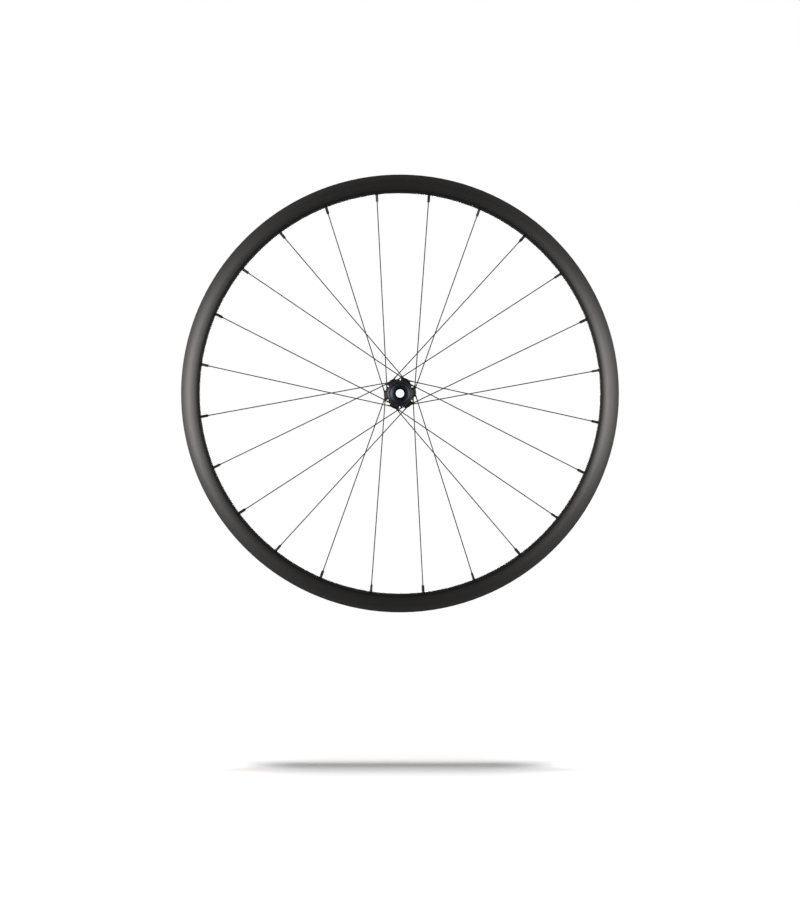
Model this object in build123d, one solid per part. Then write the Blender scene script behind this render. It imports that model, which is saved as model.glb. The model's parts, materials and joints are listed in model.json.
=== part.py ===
from build123d import *
from collections import namedtuple
from functools import cache
from math import acos, cos, degrees, radians, sin
import os

# A front bicycle wheel for a disc brake, in millimetres.
# It turns about Y, and Z is up. The origin is the middle of the rim, on the centre line of the axle.
# The right side is at -Y. The left side, at +Y, takes the brake rotor.
# Angles run from +X towards +Z.

# Rim
bead_seat_d = 622.0
tyre_edge_height = 6.0  # from the bead seat out to the rim's edge
rim_depth = 27.0
rim_width = 33.0
bed_width = 20.0
tyre_wall = 2.6  # at the outer edge
nose_wall = 2.6
side_wall = 1.5
bed_wall = 1.8
widest_drop = 13.0  # from the outer edge in to the widest place
edge_round = 1.6
bead_seat_width = 4.5
well_depth = 4.0
well_slope_run = 1.8
bed_round = 1.0
access_hole_d = 8.5
valve_hole_d = 6.5

# Lacing: each lobe of a flange sends one spoke each way round
lobe_count = 6
first_lobe_angle = 6.67
hole_stagger = 1.5  # a rim hole stands this far from the middle, towards its own flange
pair_spacing = 3.5  # along the axle, between the two spokes of a lobe

# Spokes
spoke_d = 1.5
spoke_end_d = 2.0
spoke_neck = 14.0
taper_length = 3.0
thread_out = 0.5  # length of the thick end that stands out of the nipple
spoke_head_d = 4.0
spoke_head_h = 2.0
spoke_head_bevel = 0.5

# Nipples
nipple_d = 4.0
nipple_flats = 3.3
nipple_shank = 12.2
nipple_square = 8.0  # length of the wrench flats
nipple_head_d = 6.4
nipple_head_h = 2.8
nipple_head_bevel = 1.1

# Hub shell
over_locknut = 100.0
right_flange_offset = 33.0
left_flange_offset = 22.5
right_spoke_r = 20.7  # from the axle's centre line to the spokes' lines
left_spoke_r = 18.6
lobe_cover = 2.7  # from a spoke's line out to the top of its lobe
lobe_width = 11.6
lobe_thickness = 9.2
lobe_round = 3.0
lobe_bevel = 0.6
head_seat = 1.0  # from the foot of the perpendicular back to the seat of the spoke's head
head_pocket = 5.5
barrel_wall = 2.2
bearing_shoulder = 3.2  # height of the step that a bearing's outer race stops at
right_flare = 12.0
left_flare = 9.0
flange_margin = 0.6
shoulder_run = 1.0
shoulder_drop = 2.4
shoulder_round = 0.8
lip_recess = 1.8

# Brake side of the hub shell
spline_wall = 2.6  # from the lockring's thread out to the tops of the teeth
spline_length = 7.5
spline_teeth = 40
spline_groove_d = 1.7
rotor_shoulder_h = 1.3
rotor_shoulder_width = 2.5
lockring_step = 0.6  # from the bearing's edge out to the lockring's thread
lockring_depth = 6.5

# Axle and end caps
axle_bore_d = 12.1
axle_shoulder_h = 1.0
cap_face_width = 2.75
cap_face_wall = 2.6
cap_bevel = 0.4
right_cap_reach = 6.0  # from the end of the hub shell to the frame's dropout
left_cap_reach = 5.5
cap_lip_thickness = 1.2
right_lip_cover = 0.6  # from the bearing's edge out to the edge of the lip
left_lip_gap = 1.1  # room for the lockring's edge round the lip
left_neck_wall = 0.74
lip_proud = 0.2
flare_round = 4.4
o_ring_d = 1.0
o_ring_inset = 2.0  # from the axle's end to the middle of the O-ring

# Bearings
bearing_bore_d = 15.0
bearing_d = 28.0
bearing_width = 7.0
ball_d = 3.5
ball_count = 11
race_land = 1.45  # from the balls' circle to the edge of each race
cage_thickness = 1.1
cage_width = 4.6
seal_thickness = 0.6
seal_inset = 0.2

# Clearances
seat_gap = 0.02
thread_gap = 0.03
nipple_gap = 0.2
head_gap = 0.2
spoke_to_shell = 0.7
spoke_hole_gap = 0.15
lip_gap = 0.8
lip_back_gap = 0.7
ball_gap = 0.07
pocket_gap = 0.05
seal_gap = 0.15
squeeze_gap = 0.03

# Rim section
seat_r = bead_seat_d / 2
rim_edge_r = seat_r + tyre_edge_height
nose_r = rim_edge_r - rim_depth
well_r = seat_r - well_depth
widest_r = rim_edge_r - widest_drop
rim_half = rim_width / 2
bed_half = bed_width / 2
edge_half = bed_half + tyre_wall
well_edge = bed_half - bead_seat_width
well_half = well_edge - well_slope_run

# Lacing
spoke_count = 4 * lobe_count
lobe_pitch = 360 / lobe_count
hole_pitch = 360 / spoke_count
spoke_sweep = 1.25 * lobe_pitch
left_lobe_angle = first_lobe_angle + 0.75 * lobe_pitch
valve_angle = first_lobe_angle + 5.5 * hole_pitch

# Places along the axle
right_end = -over_locknut / 2
left_end = over_locknut / 2
right_shell_end = right_end + right_cap_reach
left_shell_end = left_end - left_cap_reach
right_bearing_out = right_shell_end + lip_recess
right_bearing_in = right_bearing_out + bearing_width
left_bearing_out = left_shell_end - lockring_depth
left_bearing_in = left_bearing_out - bearing_width
right_axle_end = right_end + cap_face_wall
left_axle_end = left_end - cap_face_wall
rotor_face = left_shell_end - spline_length

# Radii about the axle
axle_bore_r = axle_bore_d / 2
axle_r = bearing_bore_d / 2
pitch_r = (bearing_bore_d + bearing_d) / 4
inner_land_r = pitch_r - race_land
outer_land_r = pitch_r + race_land
right_ring_r = right_spoke_r - spoke_end_d / 2 - spoke_to_shell
left_ring_r = left_spoke_r - spoke_end_d / 2 - spoke_to_shell
bearing_r = bearing_d / 2
shell_seat_r = bearing_r + seat_gap
shell_bore_r = bearing_r - bearing_shoulder
barrel_r = shell_bore_r + barrel_wall
lockring_bore_r = bearing_r + lockring_step
spline_r = lockring_bore_r + spline_wall
rotor_shoulder_r = spline_r + rotor_shoulder_h
axle_shoulder_r = axle_r + axle_shoulder_h
cap_socket_r = axle_r + seat_gap
cap_groove_r = axle_r + o_ring_d + 2 * squeeze_gap
cap_face_r = axle_bore_r + cap_face_width
right_lip_r = bearing_r + right_lip_cover
left_lip_r = lockring_bore_r - left_lip_gap
left_neck_r = cap_groove_r + left_neck_wall
nipple_bore_r = spoke_end_d / 2 + thread_gap

SpokeLine = namedtuple("SpokeLine", "number place reach")


def polar(radius, angle, y):
    """A point at a distance and an angle from the axle."""
    return Vector(radius * cos(radians(angle)), y, radius * sin(radians(angle)))


def turned(*edges):
    """A solid turned about the axle from the outline of half its section: x is the radius."""
    return revolve(make_face(edges), Axis.Y)


def turned_on_spoke(points):
    """A solid turned about a spoke's own line from (radius, distance) points."""
    return revolve(Plane.XZ * make_face(Polyline(*points, close=True)), Axis.Z)


def ring(inner_r, outer_r, start, end):
    """A plain ring about the axle."""
    corners = [(inner_r, start), (outer_r, start), (outer_r, end), (inner_r, end)]
    return turned(Polyline(*corners, close=True))


def rod(radius, start, end):
    """A round bar along a spoke's own line."""
    return Pos(0, 0, start) * Cylinder(radius, end - start, align=(Align.CENTER, Align.CENTER, Align.MIN))


def spoke_lines():
    """The place of each spoke: its origin is the point nearest to the axle, and its Z runs to the rim."""
    lines = []
    flanges = (
        (-right_flange_offset, right_spoke_r, first_lobe_angle),
        (left_flange_offset, left_spoke_r, left_lobe_angle),
    )
    for flange_y, spoke_r, first_angle in flanges:
        side = 1 if flange_y > 0 else -1
        for lobe in range(lobe_count):
            for turn in (1, -1):
                rim_angle = first_angle + lobe * lobe_pitch + turn * spoke_sweep
                hub_angle = rim_angle - turn * degrees(acos(spoke_r / nose_r))
                hub_point = polar(spoke_r, hub_angle, flange_y + turn * pair_spacing / 2)
                rim_point = polar(nose_r, rim_angle, side * hole_stagger)
                run = rim_point - hub_point
                place = Plane(hub_point, x_dir=(0, 1, 0), z_dir=run).location
                number = round((rim_angle - first_lobe_angle) / hole_pitch) % spoke_count + 1
                lines.append(SpokeLine(number, place, round(run.length, 6)))
    return sorted(lines)


def rim_section():
    """The hollow section: the tyre bed with its well on the outside, and a rounded nose on the inside."""
    side = [
        (rim_edge_r, edge_half),
        (rim_edge_r, bed_half),
        (seat_r, bed_half),
        (seat_r, well_edge),
        (well_r, well_half),
    ]
    rounds = [edge_round, bed_round, bed_round, bed_round]
    other_side = [(x, -y) for x, y in reversed(side)]
    bed = FilletPolyline(*side, *other_side, radius=rounds + rounds[::-1])
    flank = TangentArc((widest_r, rim_half), (rim_edge_r, edge_half), tangent=(1, 0))
    other_flank = TangentArc((widest_r, -rim_half), (rim_edge_r, -edge_half), tangent=(1, 0))
    nose = EllipticalCenterArc((widest_r, 0), widest_r - nose_r, rim_half, start_angle=90, arc_size=180)
    outline = make_face([bed, flank, other_flank, nose])
    edge_points = outline.vertices().group_by(Axis.X)[-1].sort_by(Axis.Y)
    outline = fillet([edge_points[0], edge_points[-1]], edge_round)
    under_bed = [
        (nose_r, rim_half),
        (seat_r - bed_wall, rim_half),
        (seat_r - bed_wall, well_edge),
        (well_r - bed_wall, well_half),
    ]
    other_under = [(x, -y) for x, y in reversed(under_bed)]
    hollow = Pos(widest_r, 0) * Ellipse(widest_r - nose_r - nose_wall, rim_half - side_wall)
    hollow &= make_face(Polyline(*under_bed, *other_under, close=True))
    return outline - hollow


def rim(lines):
    """The hoop with a seat and an access hole for each nipple, and the valve hole."""
    holes = []
    for line in lines:
        seat = line.reach + nose_wall
        under_well = line.reach + well_r - bed_wall - nose_r
        holes.append(line.place * rod(nipple_d / 2 + nipple_gap, line.reach - nose_wall, seat))
        holes.append(line.place * rod(nipple_head_d / 2 + nipple_gap, seat, under_well))
        holes.append(line.place * rod(access_hole_d / 2, under_well - bed_wall, line.reach + rim_depth))
    valve_axis = Plane((0, 0, 0), x_dir=(0, 1, 0), z_dir=polar(1, valve_angle, 0)).location
    holes.append(valve_axis * rod(valve_hole_d / 2, nose_r - nose_wall, rim_edge_r))
    return revolve(rim_section(), Axis.Y) - holes


@cache
def spoke(reach):
    """A round spoke along Z, headed at the hub, thick at both ends and thin between."""
    head_r = spoke_head_d / 2
    end_r = spoke_end_d / 2
    back = -head_seat - spoke_head_h
    neck_end = spoke_neck - head_seat
    thread_start = reach + nose_wall - nipple_shank - thread_out
    thread_end = reach + nose_wall + nipple_head_h / 2
    outline = [
        (0, back),
        (head_r - spoke_head_bevel, back),
        (head_r, back + spoke_head_bevel),
        (head_r, -head_seat),
        (end_r, -head_seat),
        (end_r, neck_end),
        (spoke_d / 2, neck_end + taper_length),
        (spoke_d / 2, thread_start - taper_length),
        (end_r, thread_start),
        (end_r, thread_end),
        (0, thread_end),
    ]
    return turned_on_spoke(outline)


@cache
def nipple(reach):
    """A long nipple along Z: domed head inside the rim, round shank in the hole, wrench flats outside."""
    seat = reach + nose_wall
    tip = seat - nipple_shank
    flats_end = tip + nipple_square
    head_r = nipple_head_d / 2
    head_top = seat + nipple_head_h
    round_part = turned_on_spoke(
        [
            (nipple_bore_r, flats_end),
            (nipple_d / 2, flats_end),
            (nipple_d / 2, seat),
            (head_r, seat),
            (head_r, head_top - nipple_head_bevel),
            (head_r - nipple_head_bevel, head_top),
            (nipple_bore_r, head_top),
        ]
    )
    square = Box(nipple_flats, nipple_flats, nipple_square, align=(Align.CENTER, Align.CENTER, Align.MIN))
    square_part = Pos(0, 0, tip) * square & rod(nipple_d / 2, tip, flats_end)
    square_part -= rod(nipple_bore_r, tip, flats_end)
    return round_part + square_part


def flange_lobes(flange_y, spoke_r, first_angle):
    """The lobes of one flange, as a star cut from plate with its edges bevelled."""
    lobe_r = spoke_r + lobe_cover
    outline = Sketch()
    for lobe in range(lobe_count):
        arm = Pos(lobe_r / 2, 0) * Rectangle(lobe_r, lobe_width)
        outline += Rot(0, 0, first_angle + lobe * lobe_pitch) * arm
    outline &= Circle(lobe_r)
    outline = fillet(outline.vertices().filter_by(lambda v: Vector(v).length > spoke_r), lobe_round)
    star = extrude(outline, lobe_thickness / 2, both=True)
    faces = star.faces().sort_by(Axis.Z)
    rims = faces[0].edges() + faces[-1].edges()
    star = chamfer(rims.filter_by(lambda e: e.center().length > spoke_r), lobe_bevel)
    return Plane((0, flange_y, 0), x_dir=(1, 0, 0), z_dir=(0, -1, 0)).location * star


def shell_body():
    """The outside of the hub shell, before its bores and holes are cut."""
    right_inner = -right_flange_offset + lobe_thickness / 2 + flange_margin
    left_inner = left_flange_offset - lobe_thickness / 2 - flange_margin
    right_barrel = right_inner + right_flare
    left_barrel = left_inner - left_flare
    shoulder_foot = (right_ring_r - shoulder_drop, right_shell_end)
    shoulder = [
        shoulder_foot,
        (right_ring_r, right_shell_end + shoulder_run),
        (right_ring_r, right_inner),
    ]
    left_side = [
        (left_ring_r, left_inner),
        (left_ring_r, rotor_face - rotor_shoulder_width),
        (rotor_shoulder_r, rotor_face - rotor_shoulder_width),
        (rotor_shoulder_r, rotor_face),
        (spline_r, rotor_face),
        (spline_r, left_shell_end),
        (0, left_shell_end),
        (0, right_shell_end),
        shoulder_foot,
    ]
    return turned(
        FilletPolyline(*shoulder, radius=shoulder_round),
        TangentArc((barrel_r, right_barrel), (right_ring_r, right_inner), tangent=(0, -1)),
        Line((barrel_r, right_barrel), (barrel_r, left_barrel)),
        TangentArc((barrel_r, left_barrel), (left_ring_r, left_inner), tangent=(0, 1)),
        Polyline(*left_side),
    )


def shell_bores():
    """The stepped bore: dust lip, bearing, plain middle, bearing, lockring thread."""
    return [
        ring(0, right_lip_r + lip_gap, right_shell_end, right_bearing_out),
        ring(0, shell_seat_r, right_bearing_out, right_bearing_in),
        ring(0, shell_bore_r, right_bearing_in, left_bearing_in),
        ring(0, shell_seat_r, left_bearing_in, left_bearing_out),
        ring(0, lockring_bore_r, left_bearing_out, left_shell_end),
    ]


def spline_grooves():
    """The grooves between the teeth that carry the rotor."""
    groove = Rot(90, 0, 0) * Cylinder(spline_groove_d / 2, spline_length)
    middle = (rotor_face + left_shell_end) / 2
    return [
        Pos(polar(spline_r, tooth * 360 / spline_teeth, middle)) * groove for tooth in range(spline_teeth)
    ]


def hub_shell(lines):
    """The shell with its lobes, and a hole and a head pocket in a lobe for each spoke."""
    cuts = shell_bores() + spline_grooves()
    for line in lines:
        cuts.append(line.place * rod(spoke_end_d / 2 + spoke_hole_gap, -head_seat, lobe_width + head_seat))
        cuts.append(line.place * rod(spoke_head_d / 2 + head_gap, -head_seat - head_pocket, -head_seat))
    body = shell_body()
    body += flange_lobes(-right_flange_offset, right_spoke_r, first_lobe_angle)
    body += flange_lobes(left_flange_offset, left_spoke_r, left_lobe_angle)
    return body - cuts


def axle():
    """The hollow axle, with a shoulder for each inner race."""
    outline = [
        (axle_bore_r, right_axle_end),
        (axle_r, right_axle_end),
        (axle_r, right_bearing_in),
        (axle_shoulder_r, right_bearing_in),
        (axle_shoulder_r, left_bearing_in),
        (axle_r, left_bearing_in),
        (axle_r, left_axle_end),
        (axle_bore_r, left_axle_end),
    ]
    return turned(Polyline(*outline, close=True))


def o_ring_groove(o_ring_y):
    """The groove inside an end cap that holds the O-ring on the axle."""
    half = o_ring_d / 2 + 2 * squeeze_gap
    return ring(cap_socket_r, cap_groove_r, o_ring_y - half, o_ring_y + half)


def o_ring(o_ring_y):
    """A rubber ring between the axle and its end cap."""
    middle_r = (axle_r + cap_groove_r) / 2
    return Pos(0, o_ring_y, 0) * Rot(90, 0, 0) * Torus(middle_r, o_ring_d / 2)


def right_end_cap():
    """The flared cap that covers the right bearing."""
    lip_front = right_shell_end - lip_proud
    lip_back = min(lip_front + cap_lip_thickness, right_bearing_out - lip_back_gap)
    neck = (cap_face_r + cap_bevel, right_end + cap_bevel)
    lip = (right_lip_r, lip_front)
    flare = FilletPolyline(neck, (neck[0], lip_front), lip, radius=flare_round)
    rest = [
        lip,
        (right_lip_r, lip_back),
        (inner_land_r, lip_back),
        (inner_land_r, right_bearing_out),
        (cap_socket_r, right_bearing_out),
        (cap_socket_r, right_axle_end),
        (axle_bore_r, right_axle_end),
        (axle_bore_r, right_end + cap_bevel),
        (axle_bore_r + cap_bevel, right_end),
        (cap_face_r, right_end),
        neck,
    ]
    return turned(flare, Polyline(*rest)) - o_ring_groove(right_axle_end + o_ring_inset)


def left_end_cap():
    """The slim cap that leaves room for the rotor's lockring."""
    lip_back = left_bearing_out + lip_back_gap
    lip_front = lip_back + cap_lip_thickness
    outline = [
        (axle_bore_r + cap_bevel, left_end),
        (axle_bore_r, left_end - cap_bevel),
        (axle_bore_r, left_axle_end),
        (cap_socket_r, left_axle_end),
        (cap_socket_r, left_bearing_out),
        (inner_land_r, left_bearing_out),
        (inner_land_r, lip_back),
        (left_lip_r, lip_back),
        (left_lip_r, lip_front),
        (left_neck_r, lip_front),
        (left_neck_r, left_end - cap_bevel),
        (left_neck_r - cap_bevel, left_end),
    ]
    return turned(Polyline(*outline, close=True)) - o_ring_groove(left_axle_end - o_ring_inset)


def ball_track(bearing_y):
    """The space that the balls sweep, which cuts the track in each race."""
    return Pos(0, bearing_y, 0) * Rot(90, 0, 0) * Torus(pitch_r, ball_d / 2 + ball_gap)


def ball_centres(bearing_y):
    """The middle of each ball of a bearing."""
    return [polar(pitch_r, ball * 360 / ball_count, bearing_y) for ball in range(ball_count)]


def cage(bearing_y):
    """The ring that keeps the balls apart."""
    half = cage_thickness / 2
    band = ring(pitch_r - half, pitch_r + half, bearing_y - cage_width / 2, bearing_y + cage_width / 2)
    pocket = Cylinder(ball_d / 2 + pocket_gap, 2 * cage_thickness)
    axis = Vector(0, bearing_y, 0)
    return band - [Plane(p, z_dir=p - axis).location * pocket for p in ball_centres(bearing_y)]


def bearing(side, bearing_y):
    """The pieces of one sealed bearing, by name."""
    start = bearing_y - bearing_width / 2
    end = bearing_y + bearing_width / 2
    track = ball_track(bearing_y)
    seal_inner_r = inner_land_r + seal_gap
    seal_outer_r = outer_land_r - seat_gap
    first_seal = ring(seal_inner_r, seal_outer_r, start + seal_inset, start + seal_inset + seal_thickness)
    second_seal = ring(seal_inner_r, seal_outer_r, end - seal_inset - seal_thickness, end - seal_inset)
    outward = (first_seal, second_seal) if side == "right" else (second_seal, first_seal)
    return {
        f"inner_race_{side}": ring(axle_r + seat_gap, inner_land_r, start, end) - track,
        f"outer_race_{side}": ring(outer_land_r, bearing_r, start, end) - track,
        f"bearing_balls_{side}": Compound([Pos(p) * Sphere(ball_d / 2) for p in ball_centres(bearing_y)]),
        f"ball_cage_{side}": cage(bearing_y),
        f"outer_seal_{side}": outward[0],
        f"inner_seal_{side}": outward[1],
    }


def wheel():
    """Every piece of the wheel, by name."""
    lines = spoke_lines()
    pieces = {f"spoke_{line.number:02d}": line.place * spoke(line.reach) for line in lines}
    pieces["rim"] = rim(lines)
    pieces["nipples"] = Compound([line.place * nipple(line.reach) for line in lines])
    pieces["hub_shell"] = hub_shell(lines)
    pieces["axle"] = axle()
    pieces["end_cap_right"] = right_end_cap()
    pieces["end_cap_left"] = left_end_cap()
    pieces["o_ring_right"] = o_ring(right_axle_end + o_ring_inset)
    pieces["o_ring_left"] = o_ring(left_axle_end - o_ring_inset)
    pieces |= bearing("right", (right_bearing_out + right_bearing_in) / 2)
    pieces |= bearing("left", (left_bearing_out + left_bearing_in) / 2)
    return pieces


os.makedirs("parts", exist_ok=True)
for name, piece in wheel().items():
    export_step(piece, f"parts/{name}.step")
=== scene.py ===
import json
import math

import bpy
import numpy
from bpy.props import FloatProperty, FloatVectorProperty, PointerProperty
from bpy.types import Operator, Panel, PropertyGroup
from mathutils import Matrix, Vector

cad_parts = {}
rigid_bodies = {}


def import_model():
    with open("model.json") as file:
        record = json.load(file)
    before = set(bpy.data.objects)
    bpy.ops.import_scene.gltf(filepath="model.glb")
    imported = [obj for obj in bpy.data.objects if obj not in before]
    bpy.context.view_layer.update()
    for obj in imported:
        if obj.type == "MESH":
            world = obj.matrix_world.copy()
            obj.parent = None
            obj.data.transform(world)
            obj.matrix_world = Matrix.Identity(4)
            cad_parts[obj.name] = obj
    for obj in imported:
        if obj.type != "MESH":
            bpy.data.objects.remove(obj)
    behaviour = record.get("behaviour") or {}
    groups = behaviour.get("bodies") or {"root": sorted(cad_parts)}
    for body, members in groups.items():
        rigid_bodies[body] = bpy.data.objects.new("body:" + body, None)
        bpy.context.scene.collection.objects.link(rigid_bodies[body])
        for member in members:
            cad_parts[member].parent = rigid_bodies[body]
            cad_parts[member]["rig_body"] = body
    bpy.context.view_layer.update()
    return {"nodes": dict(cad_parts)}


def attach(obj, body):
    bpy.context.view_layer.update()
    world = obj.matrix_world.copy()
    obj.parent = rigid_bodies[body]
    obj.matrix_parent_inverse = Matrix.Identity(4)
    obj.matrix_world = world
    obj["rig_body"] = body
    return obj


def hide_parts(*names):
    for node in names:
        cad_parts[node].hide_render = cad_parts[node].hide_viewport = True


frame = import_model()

bl_info = {
    "name": "Front wheel looks",
    "version": (1, 0, 0),
    "blender": (4, 5, 0),
    "location": "View3D > Sidebar > Wheel",
    "description": "Gives a spoked front wheel its finishes and sets a white studio round it",
    "category": "Object",
}

SIDES = ("right", "left")
SPOKES = [name for name in frame["nodes"] if name.startswith("spoke_")]
NIPPLE_TURN = 2.4  # radians from one nipple's flats to the next, so that no two stand alike

# A turned piece has its own Z along the axle, and its gloss is drawn out across the turning.
AXLE_TURN = Matrix.Rotation(-math.pi / 2, 4, "X")
UNTURNED = Matrix()
ACROSS_TURNING = 0.25  # of a full turn

# Which normals of a turned piece are evened out.
MOST_LEAN = 0.12  # one that leans further along the turning belongs to a hole, slot or tooth
SMOOTH_MEETING = 0.985  # cosine between a face's normal and the mean where faces run together
MEETING_DIGITS = 5  # points that agree to a hundredth of a millimetre are one

METAL, NO_METAL = 1.0, 0.0  # for a finish's Metallic

# How often a streak breaks on its way round the axle.
FIBRE_BREAKS = 9.0
TOW_BREAKS = 5.0
MARK_BREAKS = 2.0

# Height of the relief in a finish, in metres.
FINE_RELIEF = 0.00001
GRAIN_RELIEF = 0.00002

# Half the width of the band where one finish runs into the next, in metres.
NOSE_BLEND = 0.002
BEAD_BLEND = 0.006
SHOULDER_FOOT_BLEND = 0.0004
SHOULDER_EDGE_BLEND = 0.0003
CAP_FACE_BLEND = 0.0003

# Broken edges: how finely they are rounded, and where wear begins and is full.
EDGE_SAMPLES = 6
WEAR = (0.02, 0.3)  # 1 less the cosine of the angle that the rounding turns a normal by

# The floor's shadow, in metres from the spot under the wheel: where each part of it starts to
# fade and where it has gone. In the core the floor's white glow is taken away, so the overhead
# lamp's real shadow shows there, but beyond the core's ends the white glow is painted over the
# real shadow. The haze round the core is painted shade: there the glow is lowered where no
# shadow falls.
CORE_ENDS = (0.14, 0.3)  # along the wheel
PAINTED_HAZE_ENDS = (0.09, 0.5)
CORE_SIDES = (0.02, 0.07)  # to each side of the wheel
PAINTED_HAZE_SIDES = (0.19, 0.26)
PAINTED_HAZE_FRONT = (0.03, 0.21)  # towards the camera, and how much of the painted white glow comes back there
FRONT_PAINTED_GLOW = 0.36
PAINTED_HAZE_BACK = (0.015, 0.1)  # away from the camera
BACK_PAINTED_GLOW = 0.35

# What the wheel mirrors of the studio, by the parts of a direction that is 1 long: where each
# starts and where it is full.
BEHIND = (0.2, 0.6)  # away from the camera
CEILING = (0.5, 0.9)  # up or down
IN_FRONT = (-0.1, 0.3)  # towards the camera

SENSOR_WIDTH = 36.0  # millimetres
FAR_CLIP = 50.0  # metres
BLACK = (0.0, 0.0, 0.0, 1.0)
WHITE = (1.0, 1.0, 1.0, 1.0)

# Sockets of a Mix node that mixes colours, which share their names with others.
MIX_FACTOR, MIX_FIRST, MIX_SECOND = 0, 6, 7
MIX_RESULT = 2


def colour(name, description, default):
    """A colour that a user can set."""
    return FloatVectorProperty(
        name=name, description=description, default=default, subtype="COLOR", min=0.0, max=1.0
    )


def share(name, description, default):
    """A number from 0 to 1 that a user can set."""
    return FloatProperty(
        name=name, description=description, default=default, subtype="FACTOR", min=0.0, max=1.0
    )


def length(name, description, default):
    """A length in metres that a user can set."""
    return FloatProperty(
        name=name, description=description, default=default, unit="LENGTH", precision=5
    )


def angle(name, description, degrees):
    """An angle that a user can set."""
    return FloatProperty(
        name=name, description=description, default=math.radians(degrees), subtype="ANGLE"
    )


def power(name, description, default):
    """A lamp's power in watts that a user can set."""
    return FloatProperty(name=name, description=description, default=default, unit="POWER")


class RimLook(PropertyGroup):
    """The finish of the carbon hoop."""

    face: colour("Face", "Colour of the satin carbon", (0.0018, 0.0017, 0.0017))
    bed: colour("Tyre bed", "Colour of the moulded tyre bed", (0.045, 0.045, 0.046))
    roughness: share("Roughness", "Roughness of the satin carbon", 0.47)
    stretch: share("Gloss stretch", "How far the fibres draw the gloss out across the hoop", 0.85)
    nose_smoothing: share("Nose smoothing", "How much smoother the nose is than the sides", 0.14)
    bead_roughening: share("Bead roughening", "How much rougher the bead wall is", 0.15)
    resin: FloatProperty(
        name="Resin index",
        description="Refractive index of the resin",
        default=1.7,
        min=1.0,
        max=3.0,
    )
    fibre: length("Fibre width", "Width of one streak of fibres", 0.0007)
    tow: length("Tow width", "Width of one band of streaks", 0.0049)
    nose_r: length("Nose radius", "Radius within which the nose is smoother", 0.2945)
    bead_r: length("Bead radius", "Radius beyond which the bead wall is rougher", 0.312)
    bed_edge_r: length("Bed radius", "Radius beyond which the tyre bed begins", 0.3062)
    bed_half: length("Bed half width", "Half the width between the tyre walls", 0.01005)


class SpokeLook(PropertyGroup):
    """The finish of the spokes and nipples."""

    spoke: colour("Spokes", "Colour of the black steel", (0.004, 0.004, 0.0042))
    nipple: colour("Nipples", "Colour of the anodised nipples", (0.004, 0.004, 0.0042))
    spoke_roughness: share("Spoke roughness", "Roughness of the drawn steel", 0.45)
    nipple_roughness: share("Nipple roughness", "Roughness of the anodised nipples", 0.42)
    grain: length("Grain", "Size of the grain in the black coat", 0.0008)
    patch: length("Patch", "Size of the lighter and darker patches on a spoke", 0.04)
    nipple_edge: length("Nipple edge", "Radius of the nipples' broken edges", 0.0002)


class HubLook(PropertyGroup):
    """The finish of the hub shell, the end caps and the axle tube."""

    shell: colour("Shell", "Colour of the anodised shell", (0.0025, 0.0025, 0.0026))
    shoulder: colour("Shoulder", "Colour of the turned shoulder", (0.013, 0.013, 0.0128))
    cap: colour("End caps", "Colour of the polished, anodised end caps", (0.04, 0.046, 0.059))
    tube: colour("Axle tube", "Colour of the anodised tube", (0.02, 0.02, 0.021))
    shell_roughness: share("Shell roughness", "Roughness of the anodised shell", 0.3)
    cap_roughness: share("Cap roughness", "Roughness of the polished caps", 0.47)
    tube_roughness: share("Tube roughness", "Roughness of the axle tube and of its bore", 0.85)
    cap_marking: share("Cap marking", "How much rougher the turning marks make a cap", 0.04)
    shell_gloss: share("Shell gloss", "Strength of the shell's reflections", 0.42)
    turning_stretch: share("Gloss stretch", "How far turning marks draw the gloss out", 0.6)
    cap_stretch: share("Cap gloss stretch", "How far polishing draws the caps' gloss out", 0.8)
    face_shade: share("Face shade", "Brightness of the end face, as a share of the cap's", 0.06)
    face_r: length("Face radius", "Radius of the black end face", 0.0087)
    shoulder_foot_r: length("Shoulder foot", "Radius where the turned shoulder begins", 0.0162)
    shoulder_edge_r: length("Shoulder edge", "Radius where the turned shoulder ends", 0.0196)
    turning: length("Turning marks", "Width of one turning mark", 0.00018)
    tube_turning: length("Tube turning marks", "Width of one mark on the axle tube", 0.00036)
    edge: length("Edge round", "Radius of the shell's broken edges", 0.00025)
    cap_edge: length("Cap edge round", "Radius of the caps' broken edges", 0.0001)


class BearingLook(PropertyGroup):
    """The finish of the bearings and the O-rings."""

    steel: colour("Races", "Colour of the ground steel", (0.56, 0.57, 0.58))
    ball: colour("Balls", "Colour of the polished balls", (0.72, 0.73, 0.75))
    rubber: colour("Seals", "Colour of the rubber", (0.018, 0.018, 0.019))
    cage: colour("Cages", "Colour of the moulded cages", (0.72, 0.66, 0.5))


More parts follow.
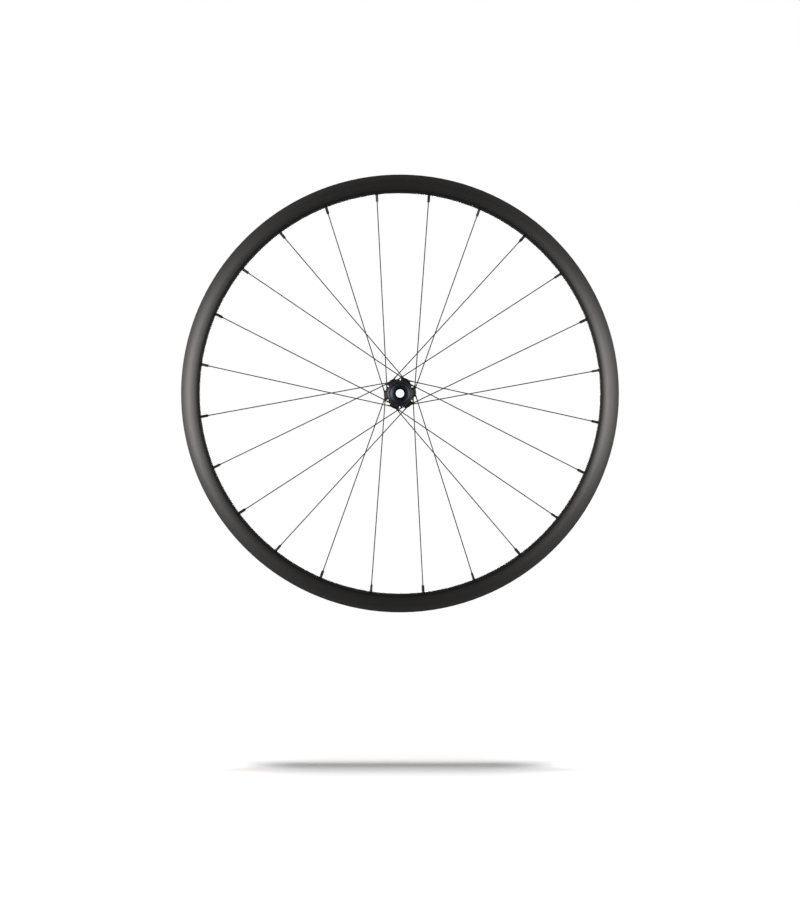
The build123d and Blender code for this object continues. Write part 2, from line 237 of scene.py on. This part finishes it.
class StudioLook(PropertyGroup):
    """The camera, the floor and the lights."""

    camera_distance: length("Camera distance", "From the camera to the wheel", 6.0)
    view_height: length("View height", "Height of the picture at the wheel", 1.3054)
    wheel_rise: FloatProperty(
        name="Wheel rise",
        description="From the picture's centre up to the wheel's, as a share of its height",
        default=0.0628,
    )
    floor_drop: length("Floor", "From the wheel's centre down to the floor", 0.539)
    floor_width: length("Floor width", "Width of the square floor", 8.0)
    floor_colour: colour("Floor colour", "Colour of the floor in the shadow", (0.9, 0.9, 0.9))
    box_distance: length("Softbox distance", "From a softbox to the wheel", 3.0)
    box_angle: angle("Softbox angle", "From the camera's line round to a softbox", 27)
    back_angle: angle("Back softbox angle", "From straight behind to a back softbox", 7)
    box_width: length("Softbox width", "Width of a softbox", 0.95)
    box_height: length("Softbox height", "Height of a softbox", 1.06)
    left_colour: colour("Left colour", "Colour of the softboxes on the left", (1.0, 0.955, 0.925))
    right_colour: colour("Right colour", "Colour of the softboxes on the right", (1.0, 0.985, 0.96))
    left_power: power("Left power", "Power of the softbox on the left", 80.0)
    right_power: power("Right power", "Power of the softbox on the right", 31.0)
    back_power: power("Back power", "Power of each softbox behind the wheel", 26.0)
    top_power: power("Overhead power", "Power of the overhead lamp", 55.0)
    top_height: length("Overhead height", "From the wheel's centre up to the lamp", 3.0)
    top_length: length("Overhead length", "Length of the lamp along the wheel", 1.6)
    top_width: length("Overhead width", "Width of the lamp across the wheel", 0.8)
    dim: share("Dim walls", "Brightness of the studio all round", 0.01)
    behind_glow: share("Back wall", "Brightness of the back wall in reflections", 0.18)
    ceiling_glow: share("Ceiling", "Brightness of the ceiling and floor in reflections", 0.05)


class WheelLook(PropertyGroup):
    """Everything that a user would change."""

    rim: PointerProperty(type=RimLook)
    spokes: PointerProperty(type=SpokeLook)
    hub: PointerProperty(type=HubLook)
    bearings: PointerProperty(type=BearingLook)
    studio: PointerProperty(type=StudioLook)


class Shade:
    """One output of a node, so that shader maths reads as a Python expression."""

    def __init__(self, finish, socket):
        self.finish = finish
        self.socket = socket

    def __add__(self, other):
        return self.finish.math("ADD", self, other)

    def __radd__(self, other):
        return self.finish.math("ADD", other, self)

    def __sub__(self, other):
        return self.finish.math("SUBTRACT", self, other)

    def __rsub__(self, other):
        return self.finish.math("SUBTRACT", other, self)

    def __mul__(self, other):
        return self.finish.math("MULTIPLY", self, other)

    def __rmul__(self, other):
        return self.finish.math("MULTIPLY", other, self)

    def __truediv__(self, other):
        return self.finish.math("DIVIDE", self, other)

    def __rtruediv__(self, other):
        return self.finish.math("DIVIDE", other, self)

    def __gt__(self, other):
        return self.finish.math("GREATER_THAN", self, other)

    def __lt__(self, other):
        return self.finish.math("LESS_THAN", self, other)

    def __neg__(self):
        return 0.0 - self

    def __abs__(self):
        return self.finish.math("ABSOLUTE", self)

    def ease(self, low, high):
        """0 below low, 1 above high, and smooth between."""
        return self.finish.node(
            "ShaderNodeMapRange",
            {"interpolation_type": "SMOOTHSTEP"},
            {"Value": self, "From Min": low, "From Max": high},
        )

    def beyond(self, edge, blend):
        """0 below an edge and 1 above it, with a smooth band round it."""
        return self.ease(edge - blend, edge + blend)


class Finish:
    """A tree of shader nodes, for a material or the world."""

    def __init__(self, tree):
        self.tree = tree
        tree.nodes.clear()

    def node(self, kind, settings=None, inputs=None, output=0):
        """Adds a node: its settings first, then the values or links of its sockets."""
        made = self.tree.nodes.new(kind)
        for name, value in (settings or {}).items():
            setattr(made, name, value)
        for name, value in (inputs or {}).items():
            if isinstance(value, Shade):
                self.tree.links.new(value.socket, made.inputs[name])
            else:
                made.inputs[name].default_value = value
        return Shade(self, made.outputs[output]) if made.outputs else None

    def math(self, operation, *values):
        """A Math node."""
        return self.node("ShaderNodeMath", {"operation": operation}, dict(enumerate(values)))

    def mix(self, factor, first, second):
        """A colour between two colours."""
        inputs = {MIX_FACTOR: factor, MIX_FIRST: first, MIX_SECOND: second}
        return self.node("ShaderNodeMix", {"data_type": "RGBA"}, inputs, MIX_RESULT)

    def shades(self, factor, rgb, low, high):
        """A colour that runs from one brightness to another."""
        return self.mix(factor, rgba(rgb, low), rgba(rgb, high))

    def vector(self, x, y, z):
        """A vector from three values."""
        return self.node("ShaderNodeCombineXYZ", None, {0: x, 1: y, 2: z})

    def split(self, vector):
        """The three values of a vector."""
        return [self.node("ShaderNodeSeparateXYZ", None, {0: vector}, axis) for axis in range(3)]

    def point(self):
        """A point in its piece's own space."""
        return self.node("ShaderNodeTexCoord", None, None, "Object")

    def radius(self):
        """A point's distance from its piece's own Z, which is the axle on a turned piece."""
        x, y, _ = self.split(self.point())
        return self.math("SQRT", x * x + y * y)

    def ray(self, kind):
        """1 for rays of one kind and 0 for all others."""
        return self.node("ShaderNodeLightPath", None, None, kind)

    def noise(self, size, detail):
        """A cloudy value about 0.5, in clouds of a size."""
        inputs = {"Vector": self.point(), "Scale": 1.0 / size, "Detail": detail}
        return self.node("ShaderNodeTexNoise", None, inputs, "Fac")

    def streaks(self, width, breaks):
        """Fine streaks that run round the axle with no seam."""
        x, y, along = self.split(self.point())
        radius = self.radius()
        vector = self.vector(x / radius * breaks, y / radius * breaks, radius / width)
        inputs = {"Vector": vector, "W": along / width, "Scale": 1.0, "Detail": 2.0}
        return self.node("ShaderNodeTexNoise", {"noise_dimensions": "4D"}, inputs, "Fac")

    def broken_edges(self, radius, wear):
        """A normal with its edges broken, and a mask that rises to the wear on those edges."""
        rounded = self.node("ShaderNodeBevel", {"samples": EDGE_SAMPLES}, {"Radius": radius})
        plain = self.node("ShaderNodeNewGeometry", None, None, "Normal")
        normals = {0: rounded, 1: plain}
        cosine = self.node("ShaderNodeVectorMath", {"operation": "DOT_PRODUCT"}, normals, "Value")
        return rounded, (1.0 - cosine).ease(*WEAR) * wear

    def bump(self, height, strength, distance, normal=None):
        """A normal that follows a height in metres."""
        inputs = {"Height": height, "Strength": strength, "Distance": distance}
        if normal:
            inputs["Normal"] = normal
        return self.node("ShaderNodeBump", None, inputs)

    def surface(self, inputs):
        """Ends the material with a Principled shader."""
        shader = self.node("ShaderNodeBsdfPrincipled", None, inputs)
        self.node("ShaderNodeOutputMaterial", None, {"Surface": shader})


def new_finish(name):
    """A material with an empty tree, and the tree."""
    material = bpy.data.materials.new(name)
    material.use_nodes = True
    return material, Finish(material.node_tree)


def rgba(rgb, brightness=1.0):
    """A colour for a socket, lighter or darker than it is set."""
    return (*(channel * brightness for channel in rgb), 1.0)


def between(low, high, mask):
    """A value that runs from low to high as a mask runs from 0 to 1."""
    return low + (high - low) * mask


def about(middle, pattern, spread):
    """A value that wanders about its middle as a pattern wanders about 0.5."""
    return between(middle - spread / 2, middle + spread / 2, pattern)


def points_of(mesh):
    """A mesh's points, as rows."""
    points = numpy.empty((len(mesh.vertices), 3), numpy.float32)
    mesh.vertices.foreach_get("co", points.ravel())
    return points


def corners_of(mesh):
    """The normal of each of a mesh's corners, as rows, and the point that each stands on."""
    normals = numpy.empty((len(mesh.loops), 3), numpy.float32)
    mesh.corner_normals.foreach_get("vector", normals.ravel())
    spots = numpy.empty(len(mesh.loops), numpy.int32)
    mesh.loops.foreach_get("vertex_index", spots)
    return normals, spots


def smooth_meetings(points, normals):
    """Gives one normal to faces that meet at a point and run smoothly into each other there."""
    rounded = numpy.round(points, MEETING_DIGITS)
    meetings, place = numpy.unique(rounded, axis=0, return_inverse=True)
    place = place.ravel()
    means = numpy.zeros(meetings.shape, numpy.float32)
    numpy.add.at(means, place, normals)
    shared = means[place] / numpy.linalg.norm(means[place], axis=1)[:, None]
    smooth = (normals * shared).sum(axis=1) > SMOOTH_MEETING
    normals[smooth] = shared[smooth]


def even_round(mesh):
    """Takes the facets' lean along the turning out of a turned mesh's normals.

    Its gloss then runs evenly round the axle.
    """
    normals, spots = corners_of(mesh)
    points = points_of(mesh)[spots]
    smooth_meetings(points, normals)
    x, y = points[:, :2].T
    turning = numpy.stack((-y, x, 0 * x), axis=1) / numpy.hypot(x, y)[:, None]
    lean = (normals * turning).sum(axis=1)[:, None]
    level = normals - numpy.where(abs(lean) < MOST_LEAN, lean, 0) * turning
    level /= numpy.linalg.norm(level, axis=1)[:, None]
    mesh.normals_split_custom_set(level.tolist())


def turn_nipples(mesh):
    """Turns each nipple about its own spoke, as truing the wheel leaves them."""
    points, (normals, spots) = points_of(mesh), corners_of(mesh)
    spokes = [points_of(frame["nodes"][name].data) for name in SPOKES]
    tips = [spoke[numpy.hypot(spoke[:, 0], spoke[:, 2]).argmax()] for spoke in spokes]
    nearest = numpy.linalg.norm(points[:, None] - numpy.array(tips), axis=2).argmin(axis=1)
    for order, spoke in enumerate(spokes):
        middle = spoke.mean(axis=0)
        _, _, longest_first = numpy.linalg.svd(spoke - middle, full_matrices=False)
        turn = numpy.array(Matrix.Rotation(order * NIPPLE_TURN, 3, longest_first[0])).T
        own = nearest == order
        points[own] = (points[own] - middle) @ turn + middle
        normals[own[spots]] = normals[own[spots]] @ turn
    mesh.vertices.foreach_set("co", points.ravel())
    mesh.normals_split_custom_set(normals.tolist())


def stand_in(node, mesh, material, place=UNTURNED):
    """A piece that takes a node's place and moves with the node's body."""
    mesh.materials.clear()
    mesh.materials.append(material)
    piece = bpy.data.objects.new(node + "_dressed", mesh)
    piece.matrix_world = place
    bpy.context.scene.collection.objects.link(piece)
    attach(piece, frame["nodes"][node]["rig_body"])
    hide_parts(node)


def turned_piece(node, material):
    """A piece with a node's form and its own Z along the axle."""
    mesh = frame["nodes"][node].data.copy()
    mesh.transform(AXLE_TURN.inverted())
    even_round(mesh)
    stand_in(node, mesh, material, AXLE_TURN)


def paint(nodes, material):
    """Gives a material to nodes that keep their own form."""
    for node in nodes:
        frame["nodes"][node].material_slots[0].material = material


class FRONT_WHEEL_OT_rim(Operator):
    """Dress the hoop in satin carbon with its fibres running round it"""

    bl_idname = "front_wheel.rim"
    bl_label = "Rim"

    def execute(self, context):
        look = context.scene.wheel_look.rim
        material, finish = new_finish("satin_carbon")
        fibre = finish.streaks(look.fibre, FIBRE_BREAKS)
        tow = finish.streaks(look.tow, TOW_BREAKS)
        radius = finish.radius()
        across = abs(finish.split(finish.point())[2])
        in_bed = (radius > look.bed_edge_r) * (across < look.bed_half)
        nose = 1.0 - radius.beyond(look.nose_r, NOSE_BLEND)
        bead = radius.beyond(look.bead_r, BEAD_BLEND)
        roughness = about(look.roughness, fibre, spread=0.012)
        brightness = about(1.0, (fibre + tow) / 2, spread=1.2)
        scaled = {0: tuple(look.face), "Scale": brightness}
        face = finish.node("ShaderNodeVectorMath", {"operation": "SCALE"}, scaled)
        finish.surface(
            {
                "Base Color": finish.mix(in_bed, face, rgba(look.bed)),
                "Roughness": roughness - nose * look.nose_smoothing + bead * look.bead_roughening,
                "IOR": look.resin,
                "Anisotropic": look.stretch,
                "Anisotropic Rotation": ACROSS_TURNING,
                "Normal": finish.bump(fibre, strength=0.03, distance=FINE_RELIEF),
            }
        )
        turned_piece("rim", material)
        return {"FINISHED"}


class FRONT_WHEEL_OT_spokes(Operator):
    """Dress the spokes in black drawn steel"""

    bl_idname = "front_wheel.spokes"
    bl_label = "Spokes"

    def execute(self, context):
        look = context.scene.wheel_look.spokes
        material, finish = new_finish("black_drawn_steel")
        grain = finish.noise(look.grain, detail=3.0)
        patch = finish.noise(look.patch, detail=2.0)
        finish.surface(
            {
                "Base Color": finish.shades(patch, look.spoke, low=0.8, high=1.25),
                "Roughness": about(look.spoke_roughness, grain, spread=0.12),
                "Normal": finish.bump(grain, strength=0.15, distance=GRAIN_RELIEF),
            }
        )
        paint(SPOKES, material)
        return {"FINISHED"}


class FRONT_WHEEL_OT_nipples(Operator):
    """Dress the nipples in black anodised aluminium, each with its own turn"""

    bl_idname = "front_wheel.nipples"
    bl_label = "Nipples"

    def execute(self, context):
        look = context.scene.wheel_look.spokes
        material, finish = new_finish("black_anodised_nipple")
        grain = finish.noise(look.grain, detail=3.0)
        rounded, worn = finish.broken_edges(look.nipple_edge, wear=0.6)
        finish.surface(
            {
                "Base Color": finish.shades(worn, look.nipple, low=1.0, high=3.0),
                "Roughness": about(look.nipple_roughness, grain, spread=0.1),
                "Normal": finish.bump(grain, strength=0.1, distance=GRAIN_RELIEF, normal=rounded),
            }
        )
        mesh = frame["nodes"]["nipples"].data.copy()
        turn_nipples(mesh)
        stand_in("nipples", mesh, material)
        return {"FINISHED"}


class FRONT_WHEEL_OT_hub_shell(Operator):
    """Dress the hub shell in black anodised aluminium with fine turning marks"""

    bl_idname = "front_wheel.hub_shell"
    bl_label = "Hub shell"

    def execute(self, context):
        look = context.scene.wheel_look.hub
        material, finish = new_finish("black_anodised_shell")
        marks = finish.streaks(look.turning, MARK_BREAKS)
        rounded, worn = finish.broken_edges(look.edge, wear=0.5)
        radius = finish.radius()
        past_foot = radius.beyond(look.shoulder_foot_r, SHOULDER_FOOT_BLEND)
        past_edge = radius.beyond(look.shoulder_edge_r, SHOULDER_EDGE_BLEND)
        black = finish.shades(worn, look.shell, low=1.0, high=2.2)
        finish.surface(
            {
                "Base Color": finish.mix(past_foot * (1.0 - past_edge), black, rgba(look.shoulder)),
                "Roughness": about(look.shell_roughness, marks, spread=0.1),
                "Specular IOR Level": look.shell_gloss,
                "Anisotropic": look.turning_stretch,
                "Anisotropic Rotation": ACROSS_TURNING,
                "Normal": finish.bump(marks, strength=0.03, distance=FINE_RELIEF, normal=rounded),
            }
        )
        turned_piece("hub_shell", material)
        return {"FINISHED"}


class FRONT_WHEEL_OT_axle(Operator):
    """Dress the end caps in dark polished aluminium and the axle tube in dull black aluminium"""

    bl_idname = "front_wheel.axle"
    bl_label = "Axle and end caps"

    def execute(self, context):
        look = context.scene.wheel_look.hub
        cap = self.cap_finish(look)
        for side in SIDES:
            turned_piece("end_cap_" + side, cap)
        turned_piece("axle", self.tube_finish(look))
        return {"FINISHED"}

    def cap_finish(self, look):
        """Polished on the flare, and dull black on the end face and in the bore."""
        material, finish = new_finish("dark_polished_cap")
        marks = finish.streaks(look.turning, MARK_BREAKS)
        rounded, worn = finish.broken_edges(look.cap_edge, wear=0.4)
        flare = finish.radius().beyond(look.face_r, CAP_FACE_BLEND)
        polish = finish.shades(worn, look.cap, low=1.0, high=1.8)
        roughness = between(look.tube_roughness, look.cap_roughness, flare)
        finish.surface(
            {
                "Base Color": finish.mix(flare, rgba(look.cap, look.face_shade), polish),
                "Metallic": METAL,
                "Roughness": roughness + marks * look.cap_marking,
                "Anisotropic": look.cap_stretch,
                "Anisotropic Rotation": ACROSS_TURNING,
                "Normal": finish.bump(marks, strength=0.02, distance=FINE_RELIEF, normal=rounded),
            }
        )
        return material

    def tube_finish(self, look):
        """Dull black with coarser turning marks."""
        material, finish = new_finish("black_anodised_tube")
        marks = finish.streaks(look.tube_turning, MARK_BREAKS)
        finish.surface(
            {
                "Base Color": finish.shades(marks, look.tube, low=0.85, high=1.0),
                "Metallic": METAL,
                "Roughness": about(look.tube_roughness, marks, spread=0.14),
                "Anisotropic": look.turning_stretch,
                "Anisotropic Rotation": ACROSS_TURNING,
                "Normal": finish.bump(marks, strength=0.2, distance=GRAIN_RELIEF),
            }
        )
        return material


class FRONT_WHEEL_OT_bearings(Operator):
    """Dress the races, balls, cages, seals and O-rings"""

    bl_idname = "front_wheel.bearings"
    bl_label = "Bearings"

    def execute(self, context):
        look = context.scene.wheel_look.bearings
        steel = self.grained("ground_steel", look.steel, METAL, roughness=0.25, grain_size=0.00008)
        ball = self.grained("polished_ball", look.ball, METAL, roughness=0.08, grain_size=0.0004)
        rubber = self.grained(
            "seal_rubber", look.rubber, NO_METAL, roughness=0.68, grain_size=0.00012
        )
        cage = self.grained("moulded_cage", look.cage, NO_METAL, roughness=0.45, grain_size=0.0003)
        for side in SIDES:
            paint(("inner_race_" + side, "outer_race_" + side), steel)
            paint(("bearing_balls_" + side,), ball)
            paint(("inner_seal_" + side, "outer_seal_" + side, "o_ring_" + side), rubber)
            paint(("ball_cage_" + side,), cage)
        return {"FINISHED"}

    def grained(self, name, rgb, metallic, roughness, grain_size):
        """One colour with a fine grain."""
        material, finish = new_finish(name)
        grain = finish.noise(grain_size, detail=3.0)
        finish.surface(
            {
                "Base Color": finish.shades(grain, rgb, low=0.85, high=1.1),
                "Metallic": metallic,
                "Roughness": about(roughness, grain, spread=roughness * 0.3),
                "Normal": finish.bump(grain, strength=0.1, distance=grain_size * 0.1),
            }
        )
        return material


class FRONT_WHEEL_OT_studio(Operator):
    """Set the camera, a white floor, four softboxes and an overhead lamp"""

    bl_idname = "front_wheel.studio"
    bl_label = "Studio"

    def execute(self, context):
        scene = context.scene
        look = scene.wheel_look.studio
        scene.view_settings.view_transform = "Standard"
        self.add_camera(scene, look)
        self.add_floor(scene, look)
        self.add_lights(scene, look)
        self.paint_world(scene, look)
        return {"FINISHED"}

    def add_camera(self, scene, look):
        """A long lens on the axle's line."""
        data = bpy.data.cameras.new("camera")
        data.sensor_width = SENSOR_WIDTH
        data.lens = SENSOR_WIDTH * look.camera_distance / look.view_height
        data.shift_y = -look.wheel_rise
        data.clip_end = FAR_CLIP
        camera = bpy.data.objects.new("camera", data)
        camera.location = (0, -look.camera_distance, 0)
        camera.rotation_euler = (math.pi / 2, 0, 0)
        scene.collection.objects.link(camera)
        scene.camera = camera

    def add_floor(self, scene, look):
        """A white floor that keeps the wheel's real shadow in its core, with a haze of painted
        shade round it.
        """
        half = look.floor_width / 2
        mesh = bpy.data.meshes.new("floor")
        corners = [(-half, -half, 0), (half, -half, 0), (half, half, 0), (-half, half, 0)]
        mesh.from_pydata(corners, [], [(0, 1, 2, 3)])
        floor = bpy.data.objects.new("floor", mesh)
        floor.location = (0, 0, -look.floor_drop)
        scene.collection.objects.link(floor)
        mesh.materials.append(self.floor_finish(look))
        floor.visible_glossy = False

    def floor_finish(self, look):
        """White to the camera, apart from the shadow: a dark core along the wheel, where the lamps'
        real shadow shows with its ends painted out white, and a haze of painted shade round it.
        """
        material, finish = new_finish("white_floor")
        x, y, _ = finish.split(finish.point())
        in_core = 1.0 - abs(y).ease(*CORE_SIDES)
        past_end = between(abs(x).ease(*PAINTED_HAZE_ENDS), abs(x).ease(*CORE_ENDS), in_core)
        # Painted shade: in the haze the white glow drops, so the floor greys where no shadow falls.
        painted_glow = (-y).ease(*PAINTED_HAZE_FRONT) * FRONT_PAINTED_GLOW + y.ease(*PAINTED_HAZE_BACK) * BACK_PAINTED_GLOW
        past_side = abs(y).ease(*PAINTED_HAZE_SIDES)
        # Painted shade and painted white: the glow is taken away in the core to show the real
        # shadow, lowered in the haze, and full beyond.
        white_glow = 1.0 - (1.0 - past_end) * (1.0 - painted_glow) * (1.0 - past_side)
        finish.surface(
            {
                "Base Color": rgba(look.floor_colour),
                "Roughness": 1.0,
                "Specular IOR Level": 0.0,
                "Emission Color": finish.mix(finish.ray("Is Camera Ray") * white_glow, BLACK, WHITE),
                "Emission Strength": 1.0,
            }
        )
        return material

    def add_lights(self, scene, look):
        """A softbox on each side of the camera, two behind, and a lamp overhead for the shadow."""
        boxes = (
            ("softbox_left", -look.box_angle, look.left_power, look.left_colour),
            ("softbox_right", look.box_angle, look.right_power, look.right_colour),
            ("softbox_back_left", math.pi + look.back_angle, look.back_power, look.left_colour),
            ("softbox_back_right", math.pi - look.back_angle, look.back_power, look.right_colour),
        )
        for name, round_to, watts, tint in boxes:
            spot = Vector((math.sin(round_to), -math.cos(round_to), 0)) * look.box_distance
            box = self.add_area(scene, name, spot, (look.box_width, look.box_height), watts)
            box.data.color = tint
        overhead = Vector((0, 0, look.top_height))
        size = (look.top_length, look.top_width)
        lamp = self.add_area(scene, "overhead_lamp", overhead, size, look.top_power)
        lamp.data.shape = "ELLIPSE"
        lamp.visible_glossy = False

    def add_area(self, scene, name, spot, size, watts):
        """An area light that faces the wheel."""
        data = bpy.data.lights.new(name, "AREA")
        data.shape = "RECTANGLE"
        data.size, data.size_y = size
        data.energy = watts
        light = bpy.data.objects.new(name, data)
        light.location = spot
        light.rotation_mode = "QUATERNION"
        light.rotation_quaternion = (-spot).to_track_quat("-Z", "Y")
        light.visible_camera = False
        scene.collection.objects.link(light)
        return light

    def paint_world(self, scene, look):
        """White to the camera, pale behind and overhead in reflections, and dim otherwise."""
        world = bpy.data.worlds.new("studio")
        world.use_nodes = True
        scene.world = world
        finish = Finish(world.node_tree)
        _, away, up = finish.split(finish.node("ShaderNodeTexCoord", None, None, "Generated"))
        behind = away.ease(*BEHIND)
        ceiling = abs(up).ease(*CEILING) * (-away).ease(*IN_FRONT)
        pale = behind * look.behind_glow + ceiling * look.ceiling_glow
        seen = finish.ray("Is Camera Ray") + finish.ray("Is Transmission Ray")
        white = seen + finish.ray("Is Glossy Ray") * pale
        glow = finish.mix(white, rgba(WHITE[:3], look.dim), WHITE)
        back = finish.node("ShaderNodeBackground", None, {"Color": glow, "Strength": 1.0})
        finish.node("ShaderNodeOutputWorld", None, {"Surface": back})


OPERATORS = (
    FRONT_WHEEL_OT_rim,
    FRONT_WHEEL_OT_spokes,
    FRONT_WHEEL_OT_nipples,
    FRONT_WHEEL_OT_hub_shell,
    FRONT_WHEEL_OT_axle,
    FRONT_WHEEL_OT_bearings,
    FRONT_WHEEL_OT_studio,
)


class VIEW3D_PT_front_wheel(Panel):
    """Buttons and settings for the wheel's looks"""

    bl_label = "Front wheel"
    bl_space_type = "VIEW_3D"
    bl_region_type = "UI"
    bl_category = "Wheel"

    def draw(self, context):
        column = self.layout.column()
        for operator in OPERATORS:
            column.operator(operator.bl_idname)
        looks = context.scene.wheel_look
        for group in (looks.rim, looks.spokes, looks.hub, looks.bearings, looks.studio):
            box = self.layout.box()
            for name in group.__annotations__:
                box.prop(group, name)


CLASSES = (
    RimLook,
    SpokeLook,
    HubLook,
    BearingLook,
    StudioLook,
    WheelLook,
    *OPERATORS,
    VIEW3D_PT_front_wheel,
)


def register():
    for made in CLASSES:
        bpy.utils.register_class(made)
    bpy.types.Scene.wheel_look = PointerProperty(type=WheelLook)


def unregister():
    del bpy.types.Scene.wheel_look
    for made in reversed(CLASSES):
        bpy.utils.unregister_class(made)


def main():
    register()
    bpy.ops.front_wheel.rim()
    bpy.ops.front_wheel.spokes()
    bpy.ops.front_wheel.nipples()
    bpy.ops.front_wheel.hub_shell()
    bpy.ops.front_wheel.axle()
    bpy.ops.front_wheel.bearings()
    bpy.ops.front_wheel.studio()


if __name__ == "__main__":
    main()
